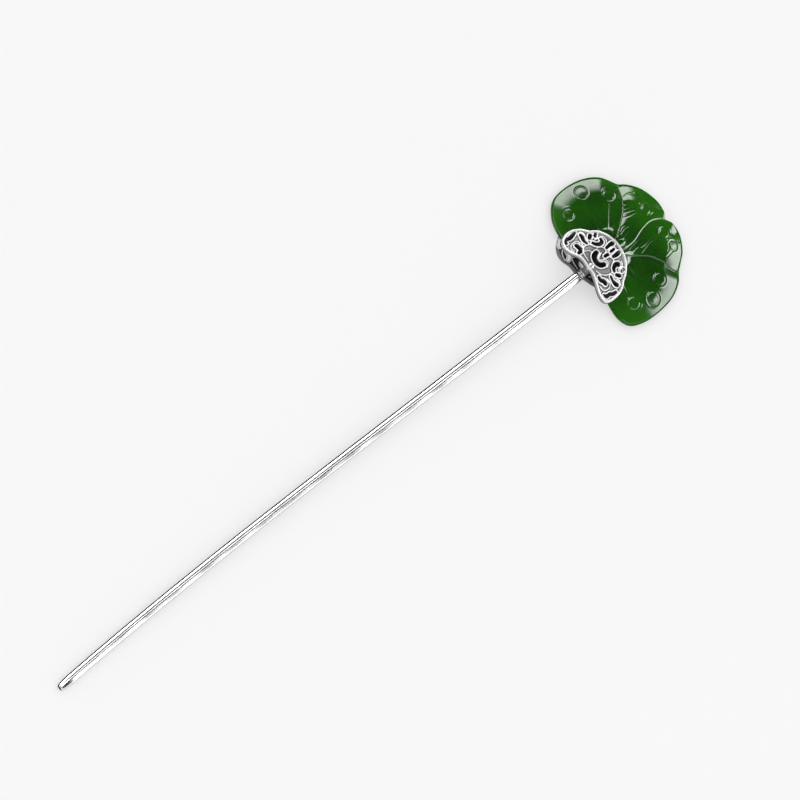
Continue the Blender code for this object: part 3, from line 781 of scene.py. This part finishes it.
jade_fan = thick_sheet(
    "carved_jade_fan", "jade_fan", jade_step, jade_inside, carved, carved_back,
    # How thin the jade is near its outline, for the painted glow at thin rims.
    lambda x, y, depth: np.tile(np.exp(-depth / thin_reach), 2), sharp=180,
)
jade_points = np.array([v.co for v in jade_fan.data.vertices]) / MM
jade_points = jade_points[:, :2] - np.array([origin.x, origin.y]) / MM
leaf_cover = within_loop(jade_points[:, 0], jade_points[:, 1], leaf_loop)
# Painted shade under the front leaf, rising from 0.25 mm to 0.55 mm inside its outline.
under_leaf_shade_layer = jade_fan.data.attributes.new("under_leaf_shade", "FLOAT", "POINT")
under_leaf_shade_layer.data.foreach_set("value", smooth((leaf_cover - 0.25) / 0.3).astype(np.float32))
finish_piece(jade_fan, "jade_fan", jade_material())

# ---------------------------------------------------------------------------------------------
# Front leaf: the arched, pierced silver leaf that shows. Each scroll is a band with bright raised
# edges and a hollow left dark by oxide; it is bent over the jade and burred onto the post.
# ---------------------------------------------------------------------------------------------
front_pattern = LeafPattern(1.0, 0.0, 0.0, 0.0, 1.0)
front_relief = {}


def front_inner(x, y, depth=None):
    """The face over the jade: it follows the jade's arch, below the boss."""
    return leaf_under_z - jade_rise + crown(x, y)


def front_outer(x, y, depth):
    """The face that shows: the arch, plus the hollows' thickness, plus the relief's own height."""
    height, front_relief["oxide"] = front_pattern.relief(x, y)
    return front_inner(x, y) + recess_level + (crest_level - recess_level) * height


front_leaf = thick_sheet(
    "front_leaf_scrolls", "front_leaf", 0.065, front_pattern.inside, front_outer, front_inner,
    # Oxide in the hollows of the face that shows; the face over the jade is drawn fully dark as painted
    # shade.
    lambda x, y, depth: np.concatenate([np.clip(front_relief["oxide"] * 1.12, 0, 1), np.ones(x.shape)]),
)
finish_piece(front_leaf, "front_leaf", leaf_silver)

# ---------------------------------------------------------------------------------------------
# Rim wire: a round silver wire bent to the front leaf's outline and soldered on its outer face.
# ---------------------------------------------------------------------------------------------
wire_gap = 0.02
wire_columns = 20

edge_line = front_pattern.edge
ahead = np.roll(edge_line, -1, 0) - np.roll(edge_line, 1, 0)
ahead /= np.linalg.norm(ahead, axis=1)[:, None]
inward = np.stack([ahead[:, 1], -ahead[:, 0]], -1)
wire_line = edge_line + inward * wire_inset
wire_z = front_inner(wire_line[:, 0], wire_line[:, 1]) + leaf_thickness + wire_gap + wire_radius
around = np.linspace(0, 2 * np.pi, wire_columns, endpoint=False)
swell = wire_radius * (1 + 0.05 * np.sin(np.arange(len(wire_line)) * 0.83))[:, None]
wire_rings = np.stack([
    wire_line[:, :1] + inward[:, :1] * swell * np.cos(around),
    wire_line[:, 1:] + inward[:, 1:] * swell * np.cos(around),
    wire_z[:, None] + swell * np.sin(around),
], -1)
rim_wire = swept("front_rim_bead", placed(wire_rings), wrap=True)
# Painted shade: the lower half of the wire is drawn dark.
set_oxide_shade_thinness(rim_wire, np.tile(np.clip(-np.sin(around), 0, 1), len(wire_line)))
finish_piece(rim_wire, "front_rim_wire", leaf_silver)

# ---------------------------------------------------------------------------------------------
# Studio: a plain pale floor under an even sky of two side softboxes with a dark gap over the
# pin, and the camera looking down on the carved front from the shaft's side.
# ---------------------------------------------------------------------------------------------
floor_half = 3.0
floor_drop = 0.00002
floor_material, floor_flow, floor_shader = new_material(
    "pale_floor", {"Roughness": 0.9, "IOR": 1.2, "Emission Color": (1, 1, 1, 1), "Emission Strength": 0.45})
floor_place = floor_flow.node("ShaderNodeTexCoord", output=3)
floor_tone = noise_at(floor_flow, floor_place, 3.0).mix((0.44, 0.44, 0.44, 1), (0.46, 0.46, 0.46, 1))
floor_flow.tree.links.new(floor_tone.socket, floor_shader.inputs["Base Color"])
floor_corners = np.array([(-1, -1, 0), (1, -1, 0), (1, 1, 0), (-1, 1, 0)]) * floor_half
floor = add_piece("studio_floor", floor_corners + np.array([0, 0, -floor_drop]), [[0, 1, 2, 3]])
floor.data.materials.append(floor_material)
floor.visible_glossy = False

tilt = math.radians(25)
roll_up = math.radians(38.45)
toward = Vector((-math.sin(tilt), 0, math.cos(tilt)))
along_shaft = Vector((math.cos(tilt), 0, math.sin(tilt)))
across = Vector((0, 1, 0))
right = math.cos(roll_up) * along_shaft - math.sin(roll_up) * across
up = math.sin(roll_up) * along_shaft + math.cos(roll_up) * across
view_width = 0.176
centre_right, centre_up = -0.0418, -0.02992
distance = 4.0
sensor_width = 36

camera_data = bpy.data.cameras.new("camera")
camera = bpy.data.objects.new("camera", camera_data)
bpy.context.collection.objects.link(camera)
waist = Vector((origin.x, origin.y + 0.5 * MM, 7.0 * MM))
spot = waist + centre_right * right + centre_up * up + distance * toward
camera.matrix_world = Matrix(((right.x, up.x, toward.x, spot.x), (right.y, up.y, toward.y, spot.y),
                              (right.z, up.z, toward.z, spot.z), (0, 0, 0, 1)))
camera_data.sensor_width = sensor_width
camera_data.lens = sensor_width * distance / view_width
camera_data.clip_end = 100
bpy.context.scene.camera = camera
bpy.context.scene.view_settings.view_transform = "Standard"

world = bpy.data.worlds.new("studio")
world.use_nodes = True
bpy.context.scene.world = world
world.node_tree.nodes.clear()
sky = Flow(world.node_tree)
direction = sky.node("ShaderNodeTexCoord", output=0)
parts = sky.node("ShaderNodeSeparateXYZ", {}, {0: direction})
dir_x, dir_y, dir_z = (Flow(world.node_tree, parts.socket.node.outputs[k]) for k in range(3))
# How near a direction is to the one that a face lying flat mirrors into the camera.
from_mirror = dir_x * math.sin(tilt) + dir_z * math.cos(tilt)
skyline = dir_y.rise(0.1, 0.5) * 0.36
above = (dir_z - skyline).rise(-0.02, 0.08)
ring = (1 - from_mirror.rise(0.78, 0.84)) * from_mirror.rise(0.42, 0.52)
left_box = (1 - dir_x.rise(0.78, 0.91)) * dir_x.rise(-0.1, 0.15) * dir_y.rise(0.35, 0.45)
right_box = dir_x.rise(0.38, 0.46) * (0 - dir_y).rise(0.22, 0.32)
walls = (1 - from_mirror.rise(0.56, 0.68)) * sky.math("ABSOLUTE", dir_y).rise(0.15, 0.35)
gap_light, box_light, wall_light = 0.02, 4.8, 0.95
sky_light = gap_light + ring * (left_box + right_box) * box_light + walls * wall_light
under_light = gap_light + (0 - dir_y).rise(0.0, 0.5) * (0.12 + dir_z.rise(-0.6, -0.35) * 0.75)
light = above * sky_light + (1 - above) * under_light
glossy_ray = sky.node("ShaderNodeLightPath", output=3)
dome = 1.08
strength = glossy_ray * light + (1 - glossy_ray) * dome
shown = sky.node("ShaderNodeBackground", {}, {"Color": (1, 1, 1, 1), "Strength": strength})
sky.node("ShaderNodeOutputWorld", {}, {"Surface": shown})
